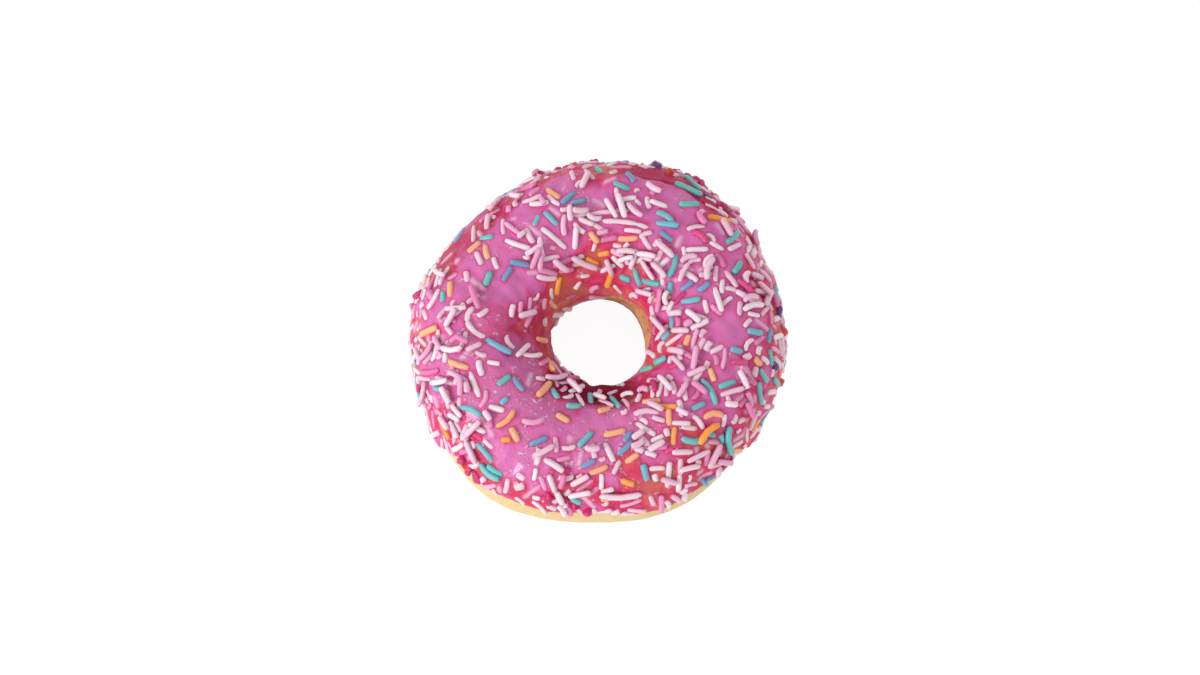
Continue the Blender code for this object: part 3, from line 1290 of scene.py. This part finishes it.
BENT = 3
LAID: tuple[Laid, ...] = (
    Laid(Sugar.TEAL, 0.1, 0, (
        (84, 69, 78, 72), (57, 70, 52, 60), (63, 52, 54, 47), (69, 141, 60, 140), (60, 131, 50, 138),
        (49, 134, 36, 123), (34, 62, 36, 45), (22, 69, 25, 60), (142, 61, 139, 69), (160, 89, 154, 88),
        (170, 60, 167, 59), (212, 91, 211, 100), (200, 42, 202, 50), (232, 46, 237, 46),
        (234, 121, 241, 116), (249, 112, 257, 115), (262, 134, 265, 118), (261, 41, 264, 38),
        (280, 131, 284, 116), (345, 48, 343, 36), (342, 36, 341, 22), (346, 24, 346, 9),
        (332, 75, 337, 66), (318, 50, 317, 43), (91, 42, 89, 53), (17, 18, 12, 18), (192, 12, 198, 9),
        (62, 33, 56, 42), (318, 146, 325, 136), (329, 133, 335, 124), (353, 42, 349, 36),
        (341, 44, 336, 30),
    )),
    Laid(Sugar.TEAL, 0.1, BENT, (
        (55, 84, 63, 83), (35, 111, 43, 98), (218, 71, 211, 62), (230, 41, 237, 41), (305, 71, 312, 58),
        (321, 50, 316, 32), (326, 70, 331, 88),
    )),
    Laid(Sugar.TEAL, 0.45, 0, (
        (61, 91, 52, 86), (188, 94, 198, 108), (225, 54, 232, 52), (16, 111, 14, 98), (32, 114, 26, 118),
        (10, 122, 0, 123), (356, 126, 351, 131), (358, 66, 358, 54), (349, 77, 349, 69),
        (287, 68, 287, 55), (261, 85, 266, 94), (317, 83, 322, 79), (220, 87, 220, 91),
        (122, 85, 118, 81), (115, 82, 112, 93), (314, 63, 316, 55),
    )),
    Laid(Sugar.TEAL, 0.9, 0, (
        (106, 80, 100, 73), (102, 83, 96, 82), (144, 94, 138, 107), (154, 98, 146, 97), (80, 55, 77, 64),
        (57, 95, 50, 95), (24, 108, 25, 99), (19, 96, 21, 89), (212, 103, 222, 103), (241, 78, 246, 86),
        (264, 70, 268, 75), (282, 88, 286, 92), (146, 28, 141, 28), (0, 44, 356, 44),
    )),
    Laid(Sugar.ORANGE, 0.95, 0, (
        (100, 127, 92, 133), (126, 132, 136, 143), (46, 62, 41, 46), (90, 125, 83, 123),
        (210, 32, 216, 33), (306, 101, 312, 92), (305, 83, 301, 74), (231, 70, 233, 73),
        (78, 141, 81, 154), (271, 42, 275, 43), (278, 58, 282, 53), (160, 22, 163, 22),
    )),
    Laid(Sugar.ORANGE, 0.95, BENT, ((320, 63, 310, 65),)),
    Laid(Sugar.ORANGE, 0.35, 0, (
        (110, 61, 107, 74), (95, 106, 91, 114), (147, 143, 145, 156), (149, 62, 144, 64),
        (144, 70, 148, 79), (181, 39, 180, 57), (77, 111, 67, 107), (194, 64, 199, 76),
        (231, 80, 236, 76), (231, 107, 230, 124), (246, 103, 253, 101), (267, 65, 273, 70),
        (270, 111, 277, 115), (273, 93, 283, 95), (281, 73, 286, 77), (300, 113, 308, 105),
        (308, 94, 304, 87), (337, 87, 333, 81), (353, 108, 347, 110), (163, 63, 168, 66),
        (318, 27, 321, 12), (348, 56, 347, 50), (187, 140, 186, 153), (207, 147, 223, 133),
    )),
    Laid(Sugar.ORANGE, 0.6, BENT, ((227, 75, 228, 89), (324, 63, 319, 73))),
    Laid(Sugar.PALE, 0.3, 0, (
        (176, 90, 172, 95), (166, 113, 173, 114), (120, 90, 113, 111), (137, 81, 132, 97),
        (201, 77, 212, 76), (290, 57, 290, 52), (290, 99, 296, 86), (273, 87, 276, 75),
        (198, 85, 204, 84), (218, 79, 223, 85),
    )),
    Laid(Sugar.PALE, 0.5, BENT, (
        (172, 84, 179, 81), (180, 82, 187, 92), (271, 46, 284, 43), (64, 96, 87, 98),
    )),
)


@dataclass(frozen=True)
class Strewing:
    """How the sprinkles are strewn over the icing: which, how many, how large and how deep."""

    coat: IcingCoat
    count: int = 900
    seed: int = 111
    shares: tuple[tuple[Sugar, float], ...] = (
        (Sugar.PALE, 0.56),
        (Sugar.PINK, 0.15),
        (Sugar.HOT_PINK, 0.018),
        (Sugar.TEAL, 0.09),
        (Sugar.ORANGE, 0.05),
        (Sugar.COATED, 0.12),
    )
    laid_radius: float = 0.78 * MM
    laid_top: float = 25.0
    laid_share: float = 0.08
    bare_below: float = 118.0
    mean_length: float = 4.1 * MM
    length_spread: float = 1.1 * MM
    shortest: float = 1.9 * MM
    longest: float = 6.8 * MM
    mean_radius: float = 0.7 * MM
    girths: tuple[float, float] = (0.86, 1.12)
    depths: tuple[float, float] = (-0.1, 0.3)
    steep_depth: float = 0.12
    laid_girths: tuple[float, float] = (0.93, 1.1)
    laid_depths: tuple[float, float] = (-0.1, 0.25)
    laid_tints: tuple[float, float] = (-0.12, 0.12)
    laid_overrun: float = 0.3 * MM
    shortest_half: float = 0.15 * MM
    coated_depth: float = 0.75
    stacking: float = 0.3
    bead_share: float = 0.07
    bead_girths: tuple[float, float] = (0.9, 1.35)
    bead_length: float = 2.4
    bend_chances: tuple[float, ...] = (0.45, 0.3, 0.17, 0.08)
    edge_margin: float = 3.0
    edge_fade: float = 26.0
    most_density: float = 3.0
    crown_density: float = 0.7
    rim_density: float = 0.35
    rim_turn: float = 60.0
    hole_density: float = 0.15
    hole_turn: float = 105.0
    density_fade: float = 30.0
    cluster_swell: tuple[float, Swell] = (0.3, Swell(9.0 * MM, 21))
    cluster_limits: tuple[float, float] = (0.3, 1.5)
    spot_reach: float = 5.0 * MM
    spot_edge: float = 1.5
    bare_factor: float = 0.12
    dense_factor: float = 2.1
    throws: int = 60000

    def density(self, turn: np.ndarray, end: np.ndarray, points: np.ndarray) -> np.ndarray:
        """How likely a sprinkle lies at a place: more on the flanks, few on the smooth patches.

        Args:
            turn: Turns of the places.
            end: Turns of the icing's edge in the hole there.
            points: The places themselves.

        Returns:
            One number for each place.
        """
        across = np.degrees(turn)
        flank = self.crown_density + self.rim_density * eased((self.rim_turn - across) / self.density_fade)
        flank = flank + self.hole_density * eased((across - self.hole_turn) / self.density_fade)
        clustered = np.clip(1.0 + swell_sum((self.cluster_swell,), points), *self.cluster_limits)
        spread = np.hypot(points[:, 0], points[:, 1]) / self.coat.form.outer_radius
        edge = eased(np.degrees(end - turn) / self.edge_fade)
        factor = np.ones(len(points))
        for spots, most in ((BARE_SPOTS, self.bare_factor), (DENSE_SPOTS, self.dense_factor)):
            for middle in self.coat.place(*np.radians(np.array(spots, float)).T):
                away = np.linalg.norm(points - middle, axis=-1) / self.spot_reach
                factor *= 1.0 + (most - 1.0) * eased(self.spot_edge - away)
        return flank * clustered * spread * edge * np.clip(factor, 0.0, self.dense_factor)

    def ground(self, azimuth: np.ndarray, turn: np.ndarray) -> tuple[np.ndarray, ...]:
        """The icing's surface at places.

        Args:
            azimuth: Azimuths of the places.
            turn: Turns of the places.

        Returns:
            The points, the ways east and up the section, and the normals.
        """
        step = 0.002
        points = self.coat.place(azimuth, turn)
        east = self.coat.place(azimuth + step, turn) - self.coat.place(azimuth - step, turn)
        climb = self.coat.place(azimuth, turn + step) - self.coat.place(azimuth, turn - step)
        east /= np.linalg.norm(east, axis=1, keepdims=True)
        normal = np.cross(east, climb)
        normal /= np.linalg.norm(normal, axis=1, keepdims=True)
        return points, east, np.cross(normal, east), normal

    def lay(self, heap: "Heap", rng: np.random.Generator) -> None:
        """Lays the sprinkles that have a place of their own.

        Args:
            heap: Where they are added.
            rng: The source of their small differences.
        """
        for group in LAID:
            angles = np.radians(np.array(group.ends, float))
            turned = (angles[:, 2] - angles[:, 0] + math.pi) % FULL_TURN - math.pi
            middles = (angles[:, 0] + turned / 2.0, (angles[:, 1] + angles[:, 3]) / 2.0)
            points, _, _, normals = self.ground(*middles)
            starts, ends = (self.coat.place(*angles[:, side : side + 2].T) for side in (0, 2))
            chords = ends - starts
            for point, normal, chord in zip(points, normals, chords):
                radius = float(self.laid_radius * rng.uniform(*self.laid_girths))
                level = chord - (chord @ normal) * normal
                length = float(np.linalg.norm(level))
                tint = group.tint + float(rng.uniform(*self.laid_tints))
                half = max(length / 2.0 + self.laid_overrun - radius, self.shortest_half)
                sunk = radius * rng.uniform(*self.laid_depths)
                kind = group.kind or int(rng.integers(0, 2))
                centre, axis = point - normal * sunk, level / length
                heap.drop(Strand(group.sugar, centre, axis, normal, half, radius, kind, tint), True)

    def strew(self) -> list[Strand]:
        """Drops the sprinkles one by one. One that meets another leans on it or is dropped elsewhere.

        Returns:
            The sprinkles that found a place.
        """
        rng = np.random.default_rng(self.seed)
        heap = Heap()
        self.lay(heap, rng)
        heap.untouched = len(heap.strands)
        LOG.info("%d sprinkles laid", heap.untouched)
        azimuth = rng.uniform(0.0, FULL_TURN, self.throws)
        start, end = self.coat.form.icing_edges(azimuth)
        margin = math.radians(self.edge_margin)
        turn = rng.uniform(start + margin, end - margin)
        points, east, climb, normal = self.ground(azimuth, turn)
        kept = rng.uniform(0.0, self.most_density, self.throws) < self.density(turn, end, points)
        sugars = [sugar for sugar, _ in self.shares]
        weights = np.tile([share for _, share in self.shares], (self.throws, 1))
        laid = [sugar in (Sugar.TEAL, Sugar.ORANGE) for sugar in sugars]
        weights[np.ix_(turn > math.radians(self.laid_top), laid)] *= self.laid_share
        weights[turn > math.radians(self.bare_below), sugars.index(Sugar.COATED)] = 0.0
        chances = np.cumsum(weights, axis=1) / weights.sum(axis=1, keepdims=True)
        drawn = (chances < rng.uniform(size=(self.throws, 1))).sum(axis=1)
        heading = rng.uniform(0.0, math.pi, self.throws)
        length = rng.normal(self.mean_length, self.length_spread, self.throws)
        length = np.clip(length, self.shortest, self.longest)
        radius = self.mean_radius * rng.uniform(*self.girths, self.throws)
        bead = rng.uniform(size=self.throws) < self.bead_share
        radius = np.where(bead, radius * rng.uniform(*self.bead_girths, self.throws), radius)
        length = np.where(bead, radius * self.bead_length, length)
        steep = eased(1.15 - normal[:, 2] / 0.85)
        sunk = rng.uniform(*self.depths, self.throws) + self.steep_depth * steep
        kind = rng.choice(len(self.bend_chances), self.throws, p=self.bend_chances)
        tint = rng.uniform(size=self.throws)
        leaning = rng.uniform(size=self.throws) < self.stacking * (1.0 - steep) ** 3
        axis = east * np.cos(heading)[:, None] + climb * np.sin(heading)[:, None]
        for place in np.flatnonzero(kept):
            if len(heap.strands) >= self.count:
                break
            sugar = sugars[drawn[place]]
            coated = sugar is Sugar.COATED
            depth = radius[place] * (self.coated_depth if coated else sunk[place])
            strand = Strand(
                sugar=sugar,
                centre=points[place] - normal[place] * depth,
                axis=axis[place],
                normal=normal[place],
                half=float(length[place] / 2.0 - radius[place]),
                radius=float(radius[place]),
                kind=int(kind[place]),
                tint=float(tint[place]),
            )
            heap.drop(strand, bool(leaning[place]) and not coated)
        LOG.info("%d sprinkles strewn", len(heap.strands))
        return heap.strands


@dataclass
class Heap:
    """The sprinkles dropped so far, which a new one has to clear, and how many have to stay uncovered."""

    strands: list[Strand] = field(default_factory=list)
    untouched: int = 0
    tightness: float = 0.94
    clear: float = 0.02 * MM
    overshoot: float = 1.1
    lever_start: float = 0.35
    steepest: float = 0.42
    highest: float = 1.7 * MM
    tries: int = 10

    def contact(self, strand: Strand) -> tuple[float, float, int]:
        """How deep a sprinkle cuts into another one, how far along it that is, and which one it cuts.

        Args:
            strand: The sprinkle to test.

        Returns:
            The deepest cut, or less than zero where it clears them all, its place along the sprinkle and
            the other one's number.
        """
        if not self.strands:
            return -1.0, 0.0, -1
        facts = ("centre", "axis", "half", "radius")
        centres, axes, halves, radii = (
            np.array([getattr(other, fact) for other in self.strands]) for fact in facts
        )
        away = strand.centre - centres
        parallel = axes @ strand.axis
        own, their = away @ strand.axis, np.einsum("ij,ij->i", away, axes)
        along = (parallel * their - own) / np.maximum(1.0 - parallel**2, 1e-4)
        along = np.clip(along, -strand.half, strand.half)
        beside = np.clip(their + along * parallel, -halves, halves)
        along = np.clip(beside * parallel - own, -strand.half, strand.half)
        gaps = away + along[:, None] * strand.axis - beside[:, None] * axes
        cuts = (radii + strand.radius) * self.tightness - np.linalg.norm(gaps, axis=1)
        worst = int(cuts.argmax())
        return float(cuts[worst]), float(along[worst]), worst

    def drop(self, strand: Strand, may_stack: bool) -> bool:
        """Adds a sprinkle if it finds a place.

        Args:
            strand: The sprinkle, lying on the icing.
            may_stack: Whether it may lean on others.

        Returns:
            Whether it was added.
        """
        base, level = strand.centre.copy(), strand.axis.copy()
        climb, slope = 0.0, 0.0
        for _ in range(self.tries):
            cut, along, other = self.contact(strand)
            if cut <= self.clear:
                strand.lift = climb
                self.strands.append(strand)
                return True
            if not may_stack or other < self.untouched:
                return False
            if abs(along) > self.lever_start * strand.half:
                lever = abs(along) + strand.half
                slope += math.copysign(cut / lever, along) * self.overshoot
                climb += cut * strand.half / lever * self.overshoot
            else:
                climb += cut * self.overshoot
            if abs(slope) > self.steepest or climb > self.highest:
                return False
            strand.centre = base + strand.normal * climb
            strand.axis = level + strand.normal * slope
            strand.axis /= np.linalg.norm(strand.axis)
        return False


@dataclass(frozen=True)
class SprinkleMaker:
    """Makes the sprinkles of one colour with Geometry Nodes: bent rods set on points and realised."""

    sides: int = 8
    rings: int = 7
    rounding: float = 0.62 * MM
    bends: tuple[float, ...] = (0.0, 0.035, 0.08, 0.16)
    length: float = 4.4 * MM
    radius: float = 0.66 * MM
    end_crowding: float = 2.2
    end_girth: float = 0.13

    def rod(self, tree: GeometryTree, length: Wire, radius: Wire, bend: float) -> bpy.types.NodeSocket:
        """One rod along X with rounded ends, bent sideways by a share of its length.

        Args:
            tree: The tree.
            length: The rod's length.
            radius: Its radius.
            bend: The rise of its arc as a share of the length.

        Returns:
            The rod as geometry.
        """
        line = tree.node("MeshLine", {"Count": self.rings})
        share = tree.wire(tree.node("InputIndex")) * (2.0 / (self.rings - 1)) - 1.0
        outward = 1.0 - (1.0 - share.math("ABSOLUTE")).math("POWER", self.end_crowding)
        x = outward * share.math("SIGN") * length * 0.5
        y = outward * outward * length * bend
        bent = tree.node("SetPosition", {"Geometry": line.outputs[0], "Position": tree.vector(x, y, 0.0)})
        curve = tree.node("MeshToCurve", {0: bent.outputs[0]})
        from_end = (1.0 - outward) * length * (0.5 / self.rounding) + self.end_girth
        inside = 1.0 - from_end.math("MINIMUM", 1.0)
        girth = (1.0 - inside * inside).math("SQRT") * radius
        thick = tree.node("SetCurveRadius", {"Curve": curve.outputs[0], "Radius": girth})
        profile = tree.node("CurvePrimitiveCircle", {"Resolution": self.sides, "Radius": 1.0})
        tube = tree.node("CurveToMesh", {"Curve": thick.outputs[0], "Profile Curve": profile.outputs[0]})
        plug(tree.tree, True, tube.inputs["Fill Caps"])
        for socket in tube.inputs:
            if socket.name == "Scale":
                plug(tree.tree, girth, socket)
        _, _, z = tree.split(tree.node("InputPosition").outputs[0])
        return tree.store(tube.outputs[0], "side", z / radius)

    def build(self, sugar: Sugar, strands: list[Strand], shift: np.ndarray) -> bpy.types.Object:
        """Builds the sprinkles of one colour and hands them to the frame.

        Args:
            sugar: The colour.
            strands: The sprinkles of that colour.
            shift: How far they move sideways with the ring.

        Returns:
            The piece.
        """
        name, slot = sugar.value
        tree = GeometryTree(name + "_rods")
        length = tree.size("Length", self.length)
        radius = tree.size("Radius", self.radius)
        rods = tree.node("GeometryToInstance")
        for bend in reversed(self.bends):
            plug(tree.tree, self.rod(tree, length, radius, bend), rods.inputs[0])
        named = {}
        for key, shape in (("spin", "FLOAT_VECTOR"), ("stretch", "FLOAT_VECTOR"), ("kind", "FLOAT")):
            named[key] = tree.node("InputNamedAttribute", {"Name": key}, data_type=shape).outputs[0]
        turned = tree.node("FunctionNodeEulerToRotation", {0: named["spin"]}).outputs[0]
        inputs = {
            "Points": tree.group_input.outputs[0],
            "Instance": rods.outputs[0],
            "Pick Instance": True,
            "Instance Index": named["kind"],
            "Rotation": turned,
            "Scale": named["stretch"],
        }
        placed = tree.node("InstanceOnPoints", inputs)
        tree.end(placed.outputs[0], FINISHES[sugar].material(slot + "_sugar_" + name))
        source = bpy.data.meshes.new(name + "_points")
        source.from_pydata([tuple(strand.centre + shift) for strand in strands], [], [])
        facts = [(self.spin(one), self.stretch(one), float(one.kind), one.tint) for one in strands]
        for key, values in zip(("spin", "stretch", "kind", "tint"), zip(*facts)):
            set_attribute(source, key, np.array(values))
        piece = tree.run(name, source)
        settle(piece, slot)
        return piece

    def spin(self, strand: Strand) -> tuple[float, float, float]:
        """The turn that lays a rod along its axis, with its side up along the normal.

        Args:
            strand: The sprinkle.

        Returns:
            The turn round X, Y and Z.
        """
        side = np.cross(strand.normal, strand.axis)
        side /= np.linalg.norm(side)
        up = np.cross(strand.axis, side)
        return tuple(Matrix(np.array([strand.axis, side, up]).T.tolist()).to_euler())

    def stretch(self, strand: Strand) -> tuple[float, float, float]:
        """A rod's scale along its length and across it."""
        across = strand.radius / self.radius
        return (2.0 * (strand.half + strand.radius) / self.length, across, across)


@dataclass(frozen=True)
class CrumbFinish:
    """Dried fruit: deep pink, with a darker piece here and there."""

    pink: Color = (222, 40, 128)
    deep: Color = (176, 16, 76)
    dark: Color = (108, 66, 130)
    red: Color = (214, 62, 50)
    pale: Color = (236, 208, 220)
    roughness: float = 0.3

    def material(self) -> bpy.types.Material:
        """Makes the material. It reads each crumb's tint.

        Returns:
            The material.
        """
        finish = Finish("fruit", roughness=self.roughness, subsurface_weight=0.2, subsurface_scale=0.6 * MM)
        grain = finish.noise(0.6 * MM, 3.0, 0.6)
        color = finish.blend(finish.ramp(grain, 0.35, 0.65), self.pink, self.deep)
        tint = finish.attribute("tint")
        for low, high, shade in ((0.86, 0.88, self.red), (0.93, 0.95, self.dark), (0.24, 0.22, self.pale)):
            color = finish.blend(finish.ramp(tint, low, high), color, shade)
        finish.set("Base Color", color)
        finish.relief((grain, 0.25 * MM))
        return finish.material


@dataclass(frozen=True)
class FruitCrumbs:
    """Fruit crumbs, which stick to the icing mostly near its edges.

    Most lie in groups round an azimuth and a turn in degrees. The laid ones have an azimuth, a turn and a
    tint of their own.
    """

    coat: IcingCoat
    finish: CrumbFinish = CrumbFinish()
    count: int = 40
    seed: int = 5
    size: float = 1.5 * MM
    size_factors: tuple[float, float] = (0.5, 1.2)
    most_turn: float = 6.3
    lumps_per_metre: float = 600.0
    lumpiness: float = 1.5
    groups: Spots = (
        (228, 20), (257, 34), (263, 33), (66, 14), (72, 18), (195, 12), (165, 12), (107, 12), (96, 18),
        (50, 8), (314, 10), (298, 21), (63, 22),
    )
    laid: tuple[tuple[float, float, float], ...] = (
        (72, 30, 0.98), (67, 36, 0.9), (65, 24, 0.5), (73, 16, 0.4), (52, 40, 0.96), (47, 36, 0.5),
        (108, 16, 0.5), (228, 28, 0.5), (231, 25, 0.4), (8, 26, 0.98), (350, 30, 0.98), (347, 10, 0.9),
        (2, 20, 0.9),
    )
    spread: float = 2.2 * MM

    def build(self, shift: np.ndarray) -> bpy.types.Object:
        """Builds the crumbs with Geometry Nodes and hands them to the frame.

        Args:
            shift: How far they move sideways with the ring.

        Returns:
            The piece.
        """
        rng = np.random.default_rng(self.seed)
        chosen = np.array(self.groups)[rng.integers(0, len(self.groups), self.count)]
        angles = np.radians(chosen)
        angles[:, 0] += rng.normal(0.0, self.spread / self.coat.form.outer_radius, self.count)
        angles[:, 1] += rng.normal(0.0, 0.5 * self.spread / self.coat.form.waist_height, self.count)
        laid = np.array(self.laid)
        angles = np.concatenate([angles, np.radians(laid[:, :2])])
        start, _ = self.coat.form.icing_edges(angles[:, 0])
        turn = np.maximum(angles[:, 1], start + math.radians(4.0))
        source = bpy.data.meshes.new("fruit_points")
        source.from_pydata((self.coat.place(angles[:, 0], turn, 0.8) + shift).tolist(), [], [])
        set_attribute(source, "tint", np.concatenate([rng.uniform(size=self.count), laid[:, 2]]))
        tree = GeometryTree("fruit_crumb_rule")
        size = tree.size("Size", self.size)
        ball = tree.node("MeshIcoSphere", {"Radius": size, "Subdivisions": 3}).outputs[0]
        seed = tree.size("Seed", self.seed, "NodeSocketInt")
        drawn = []
        for low, high in ((0.0, self.most_turn), self.size_factors):
            limits = {"Min": (low,) * 3, "Max": (high,) * 3, "Seed": seed}
            drawn.append(tree.node("FunctionNodeRandomValue", limits, data_type="FLOAT_VECTOR").outputs[0])
        inputs = {
            "Points": tree.group_input.outputs[0],
            "Instance": ball,
            "Rotation": tree.node("FunctionNodeEulerToRotation", {0: drawn[0]}).outputs[0],
            "Scale": drawn[1],
        }
        placed = tree.node("InstanceOnPoints", inputs).outputs[0]
        real = tree.node("RealizeInstances", {0: placed}).outputs[0]
        lumps = tree.noise(tree.node("InputPosition").outputs[0], self.lumps_per_metre, 1.0)
        tree.end(tree.pushed(real, lumps * self.lumpiness * size), self.finish.material())
        crumbs = tree.run("fruit_crumbs", source)
        settle(crumbs, "fruit_crumb")
        return crumbs


# ---- Floor, light and camera -------------------------------------


@dataclass(frozen=True)
class SoftLight:
    """A square lamp that points at the doughnut.

    Its direction is an azimuth and an elevation in degrees, and its power is in watts.
    """

    name: str
    azimuth: float
    elevation: float
    distance: float
    size: float
    power: float

    def hang(self) -> None:
        """Puts the lamp into the scene."""
        turn, lift = math.radians(self.azimuth), math.radians(self.elevation)
        away = Vector((math.cos(turn) * math.cos(lift), math.sin(turn) * math.cos(lift), math.sin(lift)))
        data = bpy.data.lights.new(self.name, "AREA")
        data.size = self.size
        data.energy = self.power
        light = bpy.data.objects.new(self.name, data)
        light.location = away * self.distance
        light.rotation_euler = away.to_track_quat("Z", "Y").to_euler()
        bpy.context.scene.collection.objects.link(light)


@dataclass(frozen=True)
class Studio:
    """A white floor, soft light from the front left and above, and the camera."""

    elevation: float = 74.0
    distance: float = 0.65
    lens: float = 82.8
    sensor_width: float = 36.0
    aim: tuple[float, float, float] = (0.0005, 0.00025, 0.0164)
    sky: float = 0.74
    floor_size: float = 6.0
    floor_gap: float = 0.1 * MM
    floor_grey: float = 0.12
    floor_glow: float = 0.94
    lamps: tuple[SoftLight, ...] = (SoftLight("window_light", 212.0, 33.0, 1.2, 0.5, 8.4),)

    def floor(self) -> None:
        """Lays a wide pale floor just under the doughnut."""
        bpy.ops.mesh.primitive_plane_add(size=self.floor_size, location=(0.0, 0.0, -self.floor_gap))
        floor = bpy.context.object
        floor.name = "floor"
        finish = Finish("pale_floor", roughness=0.9, emission_strength=self.floor_glow)
        finish.set("Base Color", (self.floor_grey, self.floor_grey, self.floor_grey, 1.0))
        finish.set("Emission Color", (1.0, 1.0, 1.0, 1.0))
        floor.data.materials.append(finish.material)

    def lights(self) -> None:
        """Hangs the lamps and sets the even light all round."""
        world = bpy.data.worlds.new("studio")
        bpy.context.scene.world = world
        world.use_nodes = True
        world.node_tree.nodes["Background"].inputs["Color"].default_value = (1.0, 1.0, 1.0, 1.0)
        world.node_tree.nodes["Background"].inputs["Strength"].default_value = self.sky
        for lamp in self.lamps:
            lamp.hang()

    def camera(self) -> None:
        """Sets the camera in front of the doughnut, looking steeply down."""
        data = bpy.data.cameras.new("camera")
        data.lens = self.lens
        data.sensor_width = self.sensor_width
        camera = bpy.data.objects.new("camera", data)
        lift = math.radians(self.elevation)
        back = Vector((0.0, -math.cos(lift), math.sin(lift)))
        camera.location = Vector(self.aim) + back * self.distance
        camera.rotation_euler = (-back).to_track_quat("-Z", "Y").to_euler()
        bpy.context.scene.collection.objects.link(camera)
        bpy.context.scene.camera = camera
        bpy.context.scene.view_settings.view_transform = "Standard"


def main() -> None:
    """Builds the doughnut piece by piece, then the studio, and notes the sizes."""
    logging.basicConfig(level=logging.INFO, format="%(message)s")
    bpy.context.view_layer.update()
    form = RingForm()
    DoughRing(form).build()
    coat = IcingCoat(form)
    strands = Strewing(coat).strew()
    coat.build(strands)
    maker = SprinkleMaker()
    shift = np.array(form.shift_to("dough_ring"))
    for sugar in FINISHES:
        maker.build(sugar, [strand for strand in strands if strand.sugar is sugar], shift)
    FruitCrumbs(coat).build(shift)
    studio = Studio()
    studio.floor()
    studio.lights()
    studio.camera()


if __name__ == "__main__":
    main()
